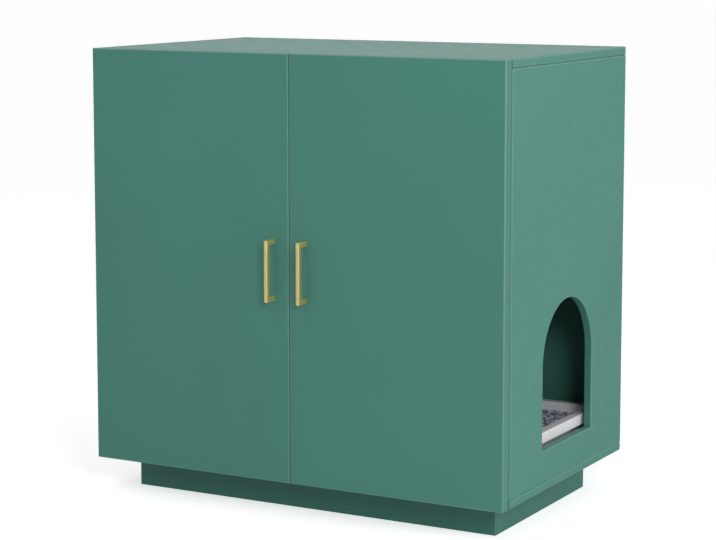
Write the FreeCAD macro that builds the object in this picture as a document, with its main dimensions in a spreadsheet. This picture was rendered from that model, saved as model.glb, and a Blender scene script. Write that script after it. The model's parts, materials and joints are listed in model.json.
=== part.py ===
import FreeCAD, Part
import math
import os
import re

import Sketcher
from FreeCAD import Placement, Rotation, Vector

# Two-door cabinet that hides a litter tray, with an arched doorway in its right side.
# Millimetres. X runs to the right, Y to the back and Z up. The origin lies on the floor
# under the middle of the whole cabinet, handles included.

doc = FreeCAD.newDocument("litter_cabinet")

# ---------------------------------------------------------------- driving sizes
SIZES = [
    ("width", 800, "outer width of the body"),
    ("depth", 504, "door fronts to the back of the body"),
    ("height", 733, "height of the body above the plinth"),
    ("board", 15, "thickness of the body panels"),
    ("edge_round", 1.5, "rounding of the panels' painted edges"),
    ("back_board", 5, "thickness of the back panel"),
    ("rebate", 7, "width of the rebate that takes the back panel"),
    ("fit", 0.1, "clearance round a fastener or in a rebate"),
    ("overrun", 1, "how far a cutter runs past the face that it opens"),
    ("arch_width", 210, "width of the cat's doorway"),
    ("arch_centre", 260, "door fronts to the middle of the doorway"),
    ("arch_sill", 70, "bottom of the body to the doorway's sill"),
    ("arch_crown", 316, "bottom of the body to the top of the arch"),
    ("plinth_height", 60, "floor to the bottom of the body"),
    ("plinth_board", 15, "thickness of the plinth boards"),
    ("plinth_side", 45, "plinth set in from the body's sides"),
    ("plinth_front", 69, "plinth set back from the door fronts"),
    ("plinth_rear", 64, "plinth set in from the body's back"),
    ("block_width", 30, "width of the plinth's corner blocks"),
    ("block_height", 40, "height of the plinth's corner blocks"),
    ("door_board", 22, "thickness of the doors"),
    ("door_gap", 3.5, "gap between the doors' backs and the body"),
    ("door_seam", 1, "gap between the two doors"),
    ("door_round", 1.2, "rounding of the doors' edges"),
    ("handle_holes", 96, "hole spacing of a handle"),
    ("handle_width", 7, "width of a handle's bar seen from the front"),
    ("handle_bar", 9, "depth of a handle's bar"),
    ("handle_post", 10, "height of a handle's posts"),
    ("reach", 26, "how far a handle stands out of its door"),
    ("handle_offset", 31, "middle of a handle to the middle of the seam"),
    ("handle_round", 1.2, "rounding of a handle's edges"),
    ("hinge_height", 120, "door's end to the middle of its hinge"),
    ("cup_edge", 3, "door's outer edge to its hinge cup"),
    ("cup_bore", 35, "diameter of the hinge cup"),
    ("cup_depth", 12, "depth of the hinge cup in the door"),
    ("cup_wall", 0.8, "sheet thickness of the hinge cup"),
    ("flange", 1.2, "thickness of the hinge cup's flange"),
    ("flange_lip", 1.1, "flange beyond the cup's bore"),
    ("wing_width", 15, "width of the flange's wings"),
    ("wing_setback", 9.5, "cup's middle to the line of its screws"),
    ("cup_screws", 45, "spacing of the cup's screws"),
    ("wing_corner", 4, "corner radius of the hinges' wings"),
    ("pivot_in", 7.97, "cup pin, inward from the door's outer edge"),
    ("pivot_ahead", 10.64, "cup pin, ahead of the body's front edge"),
    ("eye_in", 8.69, "link's free eye, inward from the outer edge"),
    ("eye_ahead", 10.61, "link's free eye, ahead of the body's front edge"),
    ("arm_in", 31, "arm's rivet, inward from the outer edge"),
    ("arm_ahead", 3, "arm's rivet, ahead of the body's front edge"),
    ("rivet", 1.25, "radius of the hinge pins"),
    ("slack", 1.05, "clearance of the link's free eye round the cup pin"),
    ("eye_wall", 0.65, "wall of the link's eyes"),
    ("link_width", 9, "width of the link"),
    ("link_sheet", 2, "thickness of the link between its eyes"),
    ("elbow_in", 15.64, "link's bend, inward from the outer edge"),
    ("elbow_ahead", 12.37, "link's bend, ahead of the body's front edge"),
    ("play", 0.3, "side play of the link in the arm"),
    ("arm_sheet", 1.2, "sheet thickness of the arm"),
    ("arm_foot", 4.5, "panel's inner face to the arm's lower edge"),
    ("arm_length", 58, "body's front edge to the arm's rear end"),
    ("arm_boss", 3.2, "radius of the arm round its rivet"),
    ("arm_step", 1, "arm's upper face below the top of its boss"),
    ("plate_setback", 37, "body's front edge to the plate's screws"),
    ("plate_screws", 32, "spacing of the mounting plate's screws"),
    ("plate_width", 18, "width of the mounting plate"),
    ("plate_tab", 6, "mounting plate beyond its screws"),
    ("plate_sheet", 1.8, "thickness of the mounting plate's wings"),
    ("ridge_length", 40, "length of the ridge that carries the arm"),
    ("screw_shank", 1.75, "radius of a hinge screw's shank"),
    ("screw_head", 3.4, "radius of a hinge screw's head"),
    ("screw_head_height", 1, "height of a hinge screw's head"),
    ("screw_length", 13, "length of a hinge screw"),
    ("bolt_shank", 2, "radius of a handle screw's shank"),
    ("bolt_head", 4, "radius of a handle screw's head"),
    ("bolt_head_height", 2.2, "height of a handle screw's head"),
    ("bolt_grip", 8, "length of a handle screw inside its post"),
    ("cam_radius", 7.5, "radius of a cam lock"),
    ("cam_depth", 12, "depth of a cam lock in its panel"),
    ("cam_reach", 24, "panel's end to the middle of a cam lock"),
    ("cam_front", 50, "panel's front or rear edge to its cam locks"),
    ("cap_radius", 8.5, "radius of a cam cover cap"),
    ("cap_height", 1, "height of a cam cover cap"),
    ("stem_shank", 3, "radius of a cam bolt"),
    ("stem_grip", 10, "length of a cam bolt in the top or bottom panel"),
    ("collar", 3.8, "radius of a cam bolt's head"),
    ("collar_length", 5, "length of a cam bolt's head"),
    ("dowel_radius", 4, "radius of a wooden dowel"),
    ("dowel_length", 30, "length of a wooden dowel"),
    ("dowel_cover", 5, "panel left over the end of a dowel"),
    ("dowel_step", 50, "cam lock to the dowel beside it"),
    ("pin_length", 16, "length of a back panel screw"),
    ("pin_shank", 1.3, "radius of a back panel screw's shank"),
    ("pin_head", 2.6, "radius of a back panel screw's head"),
    ("pin_head_height", 1.2, "height of a back panel screw's head"),
    ("pin_edge", 11.5, "outer face to the line of the back panel screws"),
    ("block_screw_shank", 2, "radius of a plinth screw's shank"),
    ("block_screw_head", 4, "radius of a plinth screw's head"),
    ("block_screw_head_height", 2, "height of a plinth screw's head"),
    ("block_screw_length", 50, "length of a plinth screw"),
    ("pad_radius", 4, "radius of a door bumper"),
    ("pad_play", 0.3, "gap between a bumper and the panel it meets"),
    ("pad_inset", 20, "door's inner edge to its bumpers"),
    ("tray_length", 500, "length of the tray's rim, left to right"),
    ("tray_height", 75, "height of the tray"),
    ("tray_wall", 3, "wall of the tray"),
    ("tray_rim", 14, "width of the tray's rim"),
    ("tray_lip", 3.5, "thickness of the tray's rim"),
    ("tray_skirt", 19, "height of the skirt that hangs from the rim's outer edge"),
    ("rim_round", 1.5, "rounding of the rim's upper edge"),
    ("tray_lean", 8, "how much further in each wall's foot is than its top"),
    ("tray_corner", 40, "corner radius of the tray"),
    ("tray_right", 20, "body's right face to the tray's rim"),
    ("tray_front", 85, "door fronts to the tray's rim"),
    ("tray_rear", 44, "tray's rim to the back panel"),
    ("tray_lift", 0.3, "gap under the tray"),
    ("litter_depth", 48, "depth of the litter"),
]

sheet = doc.addObject("Spreadsheet::Sheet", "Sizes")
for row, (alias, size, meaning) in enumerate(SIZES, start=1):
    sheet.set(f"A{row}", meaning)
    sheet.set(f"B{row}", str(size))
    sheet.setAlias(f"B{row}", alias)
doc.recompute()
ALIASES = {alias for alias, size, meaning in SIZES}

# Planes and lines that many pieces share, written in the sheet's names.
FRONT = "((reach - depth) / 2)"
EDGE = f"({FRONT} + door_board + door_gap)"
BACK = "((reach + depth) / 2)"
LEFT = "(-width / 2)"
RIGHT = "(width / 2)"
BOTTOM = "plinth_height"
TOP = "(plinth_height + height)"
FLOOR = "(plinth_height + board)"
CEILING = "(plinth_height + height - board)"
SIDES = {"left": -1, "right": 1}
LEVELS = {"upper": f"({TOP} - hinge_height)", "lower": f"({BOTTOM} + hinge_height)"}

pieces = []


# ---------------------------------------------------------------- helpers
def formula(text):
    """The same formula with every size read from the sheet."""
    return re.sub(r"[a-z_]+", lambda word: ("Sizes." if word[0] in ALIASES else "") + word[0], str(text))


def bind(thing, name, text):
    thing.setExpression(name, formula(text))


def place(thing, x=0, y=0, z=0):
    for axis, text in zip("xyz", (x, y, z)):
        bind(thing, f"Placement.Base.{axis}", text)
    return thing


def finished(thing, label):
    """Name a finished sub-part; its label becomes its file's name."""
    thing.Label = label
    pieces.append(thing)
    return thing


def box(name, x, y, z):
    """A block between two planes along each axis."""
    block = doc.addObject("Part::Box", name)
    for length, (low, high) in zip(("Length", "Width", "Height"), (x, y, z)):
        bind(block, length, f"({high}) - ({low})")
    return place(block, x[0], y[0], z[0])


TURNS = {
    "+z": Rotation(),
    "-z": Rotation(Vector(1, 0, 0), 180),
    "+y": Rotation(Vector(1, 0, 0), -90),
    "-y": Rotation(Vector(1, 0, 0), 90),
    "+x": Rotation(Vector(0, 1, 0), 90),
    "-x": Rotation(Vector(0, 1, 0), -90),
}
AGAINST = {"+z": "-z", "-z": "+z", "+y": "-y", "-y": "+y", "+x": "-x", "-x": "+x"}

# Round pieces have flat sides, so that the many small ones stay light. Each count is a
# multiple of four, so a pin and its bore keep their corners in line when both are turned.
SIDE_COUNTS = {"small": 8, "medium": 12, "large": 20}


def rod(name, radius, length, start, toward="+z", size="small"):
    """A round bar or bore that begins at a point and runs along an axis, with flat sides."""
    prism = doc.addObject("Part::Prism", name)
    prism.Polygon = SIDE_COUNTS[size]
    prism.Placement = Placement(Vector(), TURNS[toward])
    bind(prism, "Circumradius", radius)
    bind(prism, "Height", length)
    return place(prism, *start)


def screw(name, size, length, start, toward):
    """A screw whose head bears on a face at the start and whose shank runs along an axis."""
    head = rod(name + "_head", size + "_head", size + "_head_height", start, AGAINST[toward])
    shank = rod(name + "_shank", size + "_shank", length, start, toward)
    return fused(name, head, shank)


def fused(name, *shapes):
    fusion = doc.addObject("Part::MultiFuse", name)
    fusion.Shapes = list(shapes)
    fusion.Refine = True
    return fusion


def group(name, members):
    compound = doc.addObject("Part::Compound", name)
    compound.Links = list(members)
    return compound


def cut(name, base, *tools):
    difference = doc.addObject("Part::Cut", name)
    difference.Base = base
    difference.Tool = tools[0] if len(tools) == 1 else group(name + "_tools", tools)
    return difference


def copy_of(master, name, at=(0, 0, 0), turn=Rotation()):
    """The same shape again at another place."""
    copy = group(name, [master])
    copy.Placement = Placement(Vector(), turn)
    return place(copy, *at)


def worked_edges(kind, base, size, wanted):
    """A fillet or chamfer on the edges of a solid that a test picks."""
    doc.recompute()
    made = doc.addObject("Part::" + kind, f"{base.Name}_{kind}")
    made.Base = base
    amount = sheet.get(size) if size in ALIASES else size
    picked = [n for n, edge in enumerate(base.Shape.Edges, start=1) if wanted(edge)]
    made.Edges = [(n, amount, amount) for n in picked]
    return made


def rounded(base, radius, wanted):
    return worked_edges("Fillet", base, radius, wanted)


def chamfered(base, size, wanted):
    return worked_edges("Chamfer", base, size, wanted)


# Anything shorter than this counts as nothing when edges are picked.
HAIR = 0.01


def every(edge):
    return True


def along(axis):
    """Picks the straight edges that run along an axis."""
    return lambda edge: abs(edge.tangentAt(edge.FirstParameter).dot(axis)) > 0.999


# ---------------------------------------------------------------- sketches
PLANES = {"xy": "XY_Plane", "xz": "XZ_Plane", "yz": "YZ_Plane"}


def sketch_on(body, plane, name, offset=0):
    """A sketch on one of the body's own planes, moved along the plane's normal."""
    drawing = body.newObject("Sketcher::SketchObject", name)
    role = PLANES[plane]
    origin_plane = next(item for item in body.Origin.OriginFeatures if item.Role == role)
    drawing.AttachmentSupport = [(origin_plane, "")]
    drawing.MapMode = "FlatFace"
    bind(drawing, "AttachmentOffset.Base.z", offset)
    return drawing


def pin_down(drawing, item, point, across, up):
    """Tie a point of the sketch to two sizes measured from the sketch's origin."""
    for kind, text in (("DistanceX", across), ("DistanceY", up)):
        index = drawing.addConstraint(Sketcher.Constraint(kind, -1, 1, item, point, 1.0))
        bind(drawing, f"Constraints[{index}]", text)


def join(drawing, first, second):
    """The end of one line or arc meets the start of the next."""
    drawing.addConstraint(Sketcher.Constraint("Coincident", first, 2, second, 1))


def outline(drawing, corners):
    """A closed straight-sided outline with every corner tied to the sheet."""
    count = len(corners)
    start = drawing.GeometryCount
    ring = [Vector(100, 0, 0)]
    for step in range(1, count):
        ring.append(Rotation(Vector(0, 0, 1), 360.0 * step / count).multVec(ring[0]))
    for step in range(count):
        drawing.addGeometry(Part.LineSegment(ring[step], ring[(step + 1) % count]))
    for step in range(count):
        join(drawing, start + step, start + (step + 1) % count)
    for step, (across, up) in enumerate(corners):
        pin_down(drawing, start + step, 1, across, up)


def circle(drawing, radius, across, up):
    item = drawing.addGeometry(Part.Circle(Vector(0, 0, 0), Vector(0, 0, 1), 5))
    pin_down(drawing, item, 3, across, up)
    index = drawing.addConstraint(Sketcher.Constraint("Radius", item, 5.0))
    bind(drawing, f"Constraints[{index}]", radius)


def feature(body, kind, name, drawing, length, reverse=False):
    """A pad or a pocket of a sketch."""
    made = body.newObject("PartDesign::" + kind, name)
    made.Profile = drawing
    made.Reversed = reverse
    bind(made, "Length", length)
    doc.recompute()
    return made


def eased(body, name, base, size, wanted):
    """Take the sharpness off the edges of a feature that wanted picks."""
    doc.recompute()
    chamfer = body.newObject("PartDesign::Chamfer", name)
    names = [f"Edge{n}" for n, edge in enumerate(base.Shape.Edges, start=1) if wanted(edge)]
    chamfer.Base = (base, names)
    bind(chamfer, "Size", size)
    doc.recompute()
    return chamfer


# ---------------------------------------------------------------- body panels
# One block stands for the rebate that the back panel drops into. It runs past the back.
REBATE = "(board - rebate)"
back_rebate = box(
    "back_rebate",
    (f"{LEFT} + {REBATE}", f"{RIGHT} - {REBATE}"),
    (f"{BACK} - back_board - fit", f"{BACK} + board"),
    (f"{BOTTOM} + {REBATE}", f"{TOP} - {REBATE}"),
)

# Places of the joints along a side panel's ends: a cam lock near each edge, a dowel inside it.
CAM_PLACES = {"front": f"({EDGE} + cam_front)", "rear": f"({BACK} - cam_front)"}
DOWEL_PLACES = {
    "front": f"({EDGE} + cam_front + dowel_step)",
    "rear": f"({BACK} - cam_front - dowel_step)",
}
ENDS = {"lower": (FLOOR, 1), "upper": (CEILING, -1)}
MIDDLES = {"left": f"({LEFT} + board / 2)", "right": f"({RIGHT} - board / 2)"}
INNER = {"left": f"({LEFT} + board)", "right": f"({RIGHT} - board)"}
DOWEL_IN_PANEL = "(board - dowel_cover)"

cam_locks, cam_bolts, cam_caps, dowels = [], [], [], []
side_bores = {"left": [], "right": []}
end_bores = {"lower": [], "upper": []}

for side, inward in (("left", 1), ("right", -1)):
    into_panel = "-x" if side == "left" else "+x"
    out_of_panel = "+x" if side == "left" else "-x"
    for end, (joint, up) in ENDS.items():
        into_side = "+z" if up > 0 else "-z"
        for place_name, along_y in CAM_PLACES.items():
            tag = f"{side}_{end}_{place_name}"
            cam_height = f"({joint} + {up} * cam_reach)"
            stem_start = (MIDDLES[side], along_y, f"{joint} - {up} * stem_grip")
            mouth = (INNER[side], along_y, cam_height)
            lock = rod(f"lock_{tag}", "cam_radius", "cam_depth", mouth, into_panel, "medium")
            slot_start = (MIDDLES[side], along_y, joint)
            slot = rod(f"slot_{tag}", "collar + fit", "cam_reach", slot_start, into_side)
            cam_locks.append(cut(f"cam_{tag}", lock, slot))
            stem = rod(f"stem_{tag}", "stem_shank", "stem_grip + cam_reach", stem_start, into_side)
            collar_start = (MIDDLES[side], along_y, f"{joint} + {up} * (cam_reach - collar_length)")
            collar = rod(f"collar_{tag}", "collar", "collar_length", collar_start, into_side)
            cam_bolts.append(fused(f"bolt_{tag}", stem, collar))
            cap_start = (f"{INNER[side]} + {inward} * fit", along_y, cam_height)
            cap = rod(f"cap_{tag}", "cap_radius", "cap_height", cap_start, out_of_panel, "medium")
            cam_caps.append(cap)
            side_bores[side].append(
                rod(f"cam_bore_{tag}", "cam_radius + fit", "cam_depth + fit", mouth, into_panel, "medium"))
            end_bores[end].append(
                rod(f"bolt_hole_{tag}", "stem_shank + fit", "stem_grip + fit + overrun",
                    (MIDDLES[side], along_y, f"{joint} - {up} * (stem_grip + fit)"), into_side))
            side_bores[side].append(
                rod(f"bolt_bore_{tag}", "collar + fit", "cam_reach + fit",
                    (MIDDLES[side], along_y, f"{joint} - {up} * fit"), into_side))
        for place_name, along_y in DOWEL_PLACES.items():
            tag = f"{side}_{end}_{place_name}"
            dowel_start = f"({joint} - {up} * {DOWEL_IN_PANEL})"
            hole_start = (MIDDLES[side], along_y, f"{dowel_start} - {up} * fit")
            dowels.append(
                rod(f"dowel_{tag}", "dowel_radius", "dowel_length", (MIDDLES[side], along_y, dowel_start),
                    into_side))
            hole_length = "dowel_length + 2 * fit"
            hole = rod(f"dowel_hole_{tag}", "dowel_radius + fit", hole_length, hole_start, into_side)
            side_bores[side].append(hole)
            end_bores[end].append(hole)

# Screws that hold the back panel stand in its rebate, along all four edges.
BACK_ROWS = 3
back_spots = []
for step in range(BACK_ROWS):
    share = f"({step} + 0.5) / {BACK_ROWS}"
    height_here = f"({BOTTOM} + height * {share})"
    across_here = f"({LEFT} + width * {share})"
    back_spots.append((f"{LEFT} + pin_edge", height_here, "left"))
    back_spots.append((f"{RIGHT} - pin_edge", height_here, "right"))
    back_spots.append((across_here, f"{BOTTOM} + pin_edge", "lower"))
    back_spots.append((across_here, f"{TOP} - pin_edge", "upper"))

back_screw = screw("back_screw", "pin", "pin_length", (0, "-pin_head_height", 0), "-y")
back_recess = rod("back_recess", "pin_head + fit", "pin_head_height + fit", (0, 0, 0), "-y")
back_bore = rod("back_bore", "pin_shank + fit", "pin_length + pin_head_height + fit", (0, 0, 0), "-y")
back_hole = fused("back_hole", back_recess, back_bore)
back_screws, back_holes = [], []
panel_holes = {"left": [], "right": [], "lower": [], "upper": []}
for number, (across, height, panel) in enumerate(back_spots):
    spot = (across, BACK, height)
    back_screws.append(copy_of(back_screw, f"back_screw_{number}", spot))
    hole = copy_of(back_hole, f"back_hole_{number}", spot)
    back_holes.append(hole)
    panel_holes[panel].append(hole)

# Hinge plate screws enter the side panels from inside.
plate_screw_spots = {"left": [], "right": []}
plate_screw_holes = {"left": [], "right": []}
for side in SIDES:
    for level, height in LEVELS.items():
        for sign in (-1, 1):
            spot = (f"{EDGE} + plate_setback", f"{height} + {sign} * plate_screws / 2")
            plate_screw_spots[side].append(spot)
    toward = "-x" if side == "left" else "+x"
    for number, (along_y, height) in enumerate(plate_screw_spots[side]):
        depth = "screw_length - plate_sheet + fit"
        mouth = (INNER[side], along_y, height)
        hole = rod(f"plate_hole_{side}_{number}", "screw_shank + fit", depth, mouth, toward)
        plate_screw_holes[side].append(hole)

# Top and bottom panels run over and under the sides.
BLOCK_SPOTS = []
for across_sign in (-1, 1):
    across = f"({across_sign} * (width / 2 - plinth_side - plinth_board - block_width / 2))"
    BLOCK_SPOTS.append((across, f"({FRONT} + plinth_front + plinth_board + block_width / 2)"))
    BLOCK_SPOTS.append((across, f"({BACK} - plinth_rear - plinth_board - block_width / 2)"))

block_holes, plinth_screws, corner_blocks = [], [], []
BLOCK_FOOT = f"({BOTTOM} - block_height)"
for number, (across, along_y) in enumerate(BLOCK_SPOTS):
    foot = (across, along_y, BLOCK_FOOT)
    plinth_screws.append(screw(f"plinth_screw_{number}", "block_screw", "block_screw_length", foot, "+z"))
    hole = rod(f"block_hole_{number}", "block_screw_shank + fit", "block_screw_length + fit", foot, "+z")
    block_holes.append(hole)
    block = box(
        f"corner_block_{number}",
        (f"{across} - block_width / 2", f"{across} + block_width / 2"),
        (f"{along_y} - block_width / 2", f"{along_y} + block_width / 2"),
        (BLOCK_FOOT, BOTTOM),
    )
    corner_blocks.append(cut(f"bored_block_{number}", block, hole))

top_box = box("top_box", (LEFT, RIGHT), (EDGE, BACK), (CEILING, TOP))
top_blank = chamfered(top_box, "edge_round", every)
finished(cut("top", top_blank, back_rebate, *end_bores["upper"], *panel_holes["upper"]), "top_panel")
bottom_box = box("bottom_box", (LEFT, RIGHT), (EDGE, BACK), (BOTTOM, FLOOR))
bottom_blank = chamfered(bottom_box, "edge_round", every)
bottom_tools = [back_rebate, *end_bores["lower"], *panel_holes["lower"], *block_holes]
finished(cut("bottom", bottom_blank, *bottom_tools), "bottom_panel")

left_box = box("left_box", (LEFT, INNER["left"]), (EDGE, BACK), (FLOOR, CEILING))
left_blank = chamfered(left_box, "edge_round", every)
left_tools = [back_rebate, *side_bores["left"], *panel_holes["left"], *plate_screw_holes["left"]]
finished(cut("left_side", left_blank, *left_tools), "left_side_panel")

# The right side panel is padded from an outline with the arched doorway in it.
arch_body = doc.addObject("PartDesign::Body", "arch_body")
arch_sketch = sketch_on(arch_body, "yz", "arch_sketch", INNER["right"])
outline(arch_sketch, [(EDGE, FLOOR), (BACK, FLOOR), (BACK, CEILING), (EDGE, CEILING)])
ARCH_MIDDLE = f"({FRONT} + arch_centre)"
SPRING = f"({BOTTOM} + arch_crown - arch_width / 2)"
SILL = f"({BOTTOM} + arch_sill)"
ARCH_NEAR = f"({ARCH_MIDDLE} - arch_width / 2)"
ARCH_FAR = f"({ARCH_MIDDLE} + arch_width / 2)"
first = arch_sketch.GeometryCount
arch_sketch.addGeometry(Part.LineSegment(Vector(-50, 0, 0), Vector(50, 0, 0)))
arch_sketch.addGeometry(Part.LineSegment(Vector(50, 0, 0), Vector(50, 100, 0)))
half_turn = Part.Circle(Vector(0, 100, 0), Vector(0, 0, 1), 50)
arch_sketch.addGeometry(Part.ArcOfCircle(half_turn, 0, math.pi))
arch_sketch.addGeometry(Part.LineSegment(Vector(-50, 100, 0), Vector(-50, 0, 0)))
for step in range(4):
    join(arch_sketch, first + step, first + (step + 1) % 4)
pin_down(arch_sketch, first, 1, ARCH_NEAR, SILL)
pin_down(arch_sketch, first + 1, 1, ARCH_FAR, SILL)
pin_down(arch_sketch, first + 1, 2, ARCH_FAR, SPRING)
pin_down(arch_sketch, first + 3, 1, ARCH_NEAR, SPRING)
spring_height = arch_sketch.addConstraint(Sketcher.Constraint("DistanceY", -1, 1, first + 2, 3, 1.0))
bind(arch_sketch, f"Constraints[{spring_height}]", SPRING)
arch_pad = feature(arch_body, "Pad", "arch_pad", arch_sketch, "board")
arch_panel = eased(
    arch_body, "arch_edges", arch_pad, "edge_round",
    lambda edge: edge.BoundBox.XLength < HAIR,
)
arch_body.Tip = arch_panel
right_tools = [back_rebate, *side_bores["right"], *panel_holes["right"], *plate_screw_holes["right"]]
finished(cut("right_side", arch_body, *right_tools), "right_side_panel")

back_blank = box(
    "back_blank",
    (f"{LEFT} + {REBATE} + fit", f"{RIGHT} - {REBATE} - fit"),
    (f"{BACK} - back_board", BACK),
    (f"{BOTTOM} + {REBATE} + fit", f"{TOP} - {REBATE} - fit"),
)
finished(cut("back", back_blank, *back_holes), "back_panel")
finished(group("back_screw_set", back_screws), "back_panel_screws")
finished(group("cam_lock_set", cam_locks), "cam_locks")
finished(group("cam_bolt_set", cam_bolts), "cam_bolts")
finished(group("cam_cap_set", cam_caps), "cam_cover_caps")
finished(group("dowel_set", dowels), "wooden_dowels")

# ---------------------------------------------------------------- plinth
PLINTH_LEFT = f"({LEFT} + plinth_side)"
PLINTH_RIGHT = f"({RIGHT} - plinth_side)"
PLINTH_FRONT = f"({FRONT} + plinth_front)"
PLINTH_BACK = f"({BACK} - plinth_rear)"
BETWEEN = (f"{PLINTH_FRONT} + plinth_board", f"{PLINTH_BACK} - plinth_board")
STANDING = (0, BOTTOM)
plinth_boards = {
    "plinth_front_board": ((PLINTH_LEFT, PLINTH_RIGHT), (PLINTH_FRONT, BETWEEN[0])),
    "plinth_back_board": ((PLINTH_LEFT, PLINTH_RIGHT), (BETWEEN[1], PLINTH_BACK)),
    "plinth_left_board": ((PLINTH_LEFT, f"{PLINTH_LEFT} + plinth_board"), BETWEEN),
    "plinth_right_board": ((f"{PLINTH_RIGHT} - plinth_board", PLINTH_RIGHT), BETWEEN),
    "plinth_cross_brace": (("-plinth_board / 2", "plinth_board / 2"), BETWEEN),
}
for label, (x_span, y_span) in plinth_boards.items():
    finished(box(label + "_blank", x_span, y_span, STANDING), label)
finished(group("corner_block_set", corner_blocks), "plinth_corner_blocks")
finished(group("plinth_screw_set", plinth_screws), "plinth_screws")

# ---------------------------------------------------------------- hinges
# Drawn once, for the left side: X inward from the door's outer edge, Y to the back from the
# body's front edge, Z from the hinge's middle. The right side is the same hinge turned over.
CUP_MIDDLE = "(cup_edge + cup_bore / 2)"
CUP_OUTSIDE = "(cup_bore / 2 - fit)"
CUP_INSIDE = "(cup_bore / 2 - fit - cup_wall)"
DOOR_BACK = "(-door_gap)"
WING_LINE = f"({CUP_MIDDLE} + wing_setback)"
FLANGE_FACE = f"({DOOR_BACK} + flange)"
WING_END = "(cup_screws / 2 + wing_width / 2)"

cup_shell = rod("cup_shell", CUP_OUTSIDE, "cup_depth", (CUP_MIDDLE, DOOR_BACK, 0), "-y", "large")
cup_ring = rod("cup_ring", "cup_bore / 2 + flange_lip", "flange", (CUP_MIDDLE, DOOR_BACK, 0), "+y", "large")
cup_wings = chamfered(
    box("cup_wings",
        (f"{WING_LINE} - wing_width / 2", f"{WING_LINE} + wing_width / 2"),
        (DOOR_BACK, FLANGE_FACE),
        (f"-{WING_END}", WING_END)),
    "wing_corner", along(Vector(0, 1, 0)))
HOLLOW_DEPTH = "cup_depth + flange - cup_wall"
cup_hollow = rod("cup_hollow", CUP_INSIDE, HOLLOW_DEPTH, (CUP_MIDDLE, FLANGE_FACE, 0), "-y", "large")
cup_cuts = [cup_hollow]
for sign in (-1, 1):
    spot = (WING_LINE, FLANGE_FACE, f"{sign} * cup_screws / 2")
    cup_cuts.append(rod(f"wing_hole_{sign + 1}", "screw_shank + fit", "flange", spot, "-y"))
cup_pressing = cut("cup_pressing", fused("cup_blank", cup_shell, cup_ring, cup_wings), *cup_cuts)
PIN_REACH = f"(sqrt({CUP_INSIDE} ^ 2 - ({CUP_MIDDLE} - pivot_in + rivet) ^ 2) + cup_wall / 2)"
cup_pin = rod("cup_pin", "rivet", f"2 * {PIN_REACH}", ("pivot_in", "-pivot_ahead", f"-{PIN_REACH}"))
cup_master = fused("cup_master", cup_pressing, cup_pin)

# The link: a loose eye round the cup's pin and a close eye round the arm's rivet.
HALF_LINK = "(link_width / 2)"
LOOSE = "(rivet + slack)"
CLOSE = "(rivet + 2 * fit)"
LOOSE_START = ("eye_in", "-eye_ahead", f"-{HALF_LINK}")
CLOSE_START = ("arm_in", "-arm_ahead", f"-{HALF_LINK}")
loose_eye = rod("loose_eye", f"{LOOSE} + eye_wall", "link_width", LOOSE_START, "+z", "medium")
close_eye = rod("close_eye", f"{CLOSE} + eye_wall", "link_width", CLOSE_START, "+z", "medium")


def link_bar(name, start, end):
    """A flat bar of the link between two points, each given inward and ahead."""
    across = f"({end[0]} - {start[0]})"
    back = f"({start[1]} - {end[1]})"
    lean = f"atan2({back}; {across})"
    bar = doc.addObject("Part::Box", name)
    bind(bar, "Length", f"sqrt({across} ^ 2 + {back} ^ 2)")
    bind(bar, "Width", "link_sheet")
    bind(bar, "Height", "link_width")
    bind(bar, "Placement.Rotation.Angle", lean)
    half = "link_sheet / 2"
    across_start = f"{start[0]} + {half} * sin({lean})"
    return place(bar, across_start, f"-{start[1]} - {half} * cos({lean})", f"-{HALF_LINK}")


# The link is bent, so that it clears the cup's near rim when the door stands open.
ELBOW_START = ("elbow_in", "-elbow_ahead", f"-{HALF_LINK}")
elbow = rod("elbow", "link_sheet / 2", "link_width", ELBOW_START, "+z", "medium")
near_bar = link_bar("near_bar", ("eye_in", "eye_ahead"), ("elbow_in", "elbow_ahead"))
far_bar = link_bar("far_bar", ("elbow_in", "elbow_ahead"), ("arm_in", "arm_ahead"))
link_blank = fused("link_blank", loose_eye, close_eye, near_bar, elbow, far_bar)
link_master = cut(
    "link_master", link_blank,
    rod("loose_bore", LOOSE, "link_width", LOOSE_START, "+z", "medium"),
    rod("close_bore", CLOSE, "link_width", CLOSE_START, "+z", "medium"),
)

# The arm: a channel over the mounting plate, whose cheeks hold the rivet at its front.
CHANNEL = "(link_width / 2 + play)"
HALF_ARM = f"({CHANNEL} + arm_sheet)"
ARM_LOW = "(board + arm_foot)"
ARM_HIGH = "(arm_in + arm_boss - arm_step)"
arm_body = doc.addObject("PartDesign::Body", "arm_body")
arm_sketch = sketch_on(arm_body, "xy", "arm_sketch", f"-{HALF_ARM}")
outline(arm_sketch, [
    ("arm_in - arm_boss", "-arm_ahead"),
    (ARM_HIGH, "-arm_ahead"),
    (ARM_HIGH, "arm_length"),
    (ARM_LOW, "arm_length"),
    (ARM_LOW, "plate_width / 2"),
])
feature(arm_body, "Pad", "arm_pad", arm_sketch, f"2 * {HALF_ARM}")
boss_sketch = sketch_on(arm_body, "xy", "boss_sketch", f"-{HALF_ARM}")
circle(boss_sketch, "arm_boss", "arm_in", "-arm_ahead")
feature(arm_body, "Pad", "boss_pad", boss_sketch, f"2 * {HALF_ARM}")
channel_sketch = sketch_on(arm_body, "xy", "channel_sketch", f"-{CHANNEL}")
outline(channel_sketch, [
    ("board", "-arm_ahead - 2 * arm_boss"),
    ("arm_in + 2 * arm_boss", "-arm_ahead - 2 * arm_boss"),
    ("arm_in + 2 * arm_boss", "arm_boss"),
    (f"{ARM_HIGH} - arm_sheet", "arm_boss"),
    (f"{ARM_HIGH} - arm_sheet", "arm_length + overrun"),
    ("board", "arm_length + overrun"),
])
feature(arm_body, "Pocket", "channel_pocket", channel_sketch, f"2 * {CHANNEL}", reverse=True)
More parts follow.
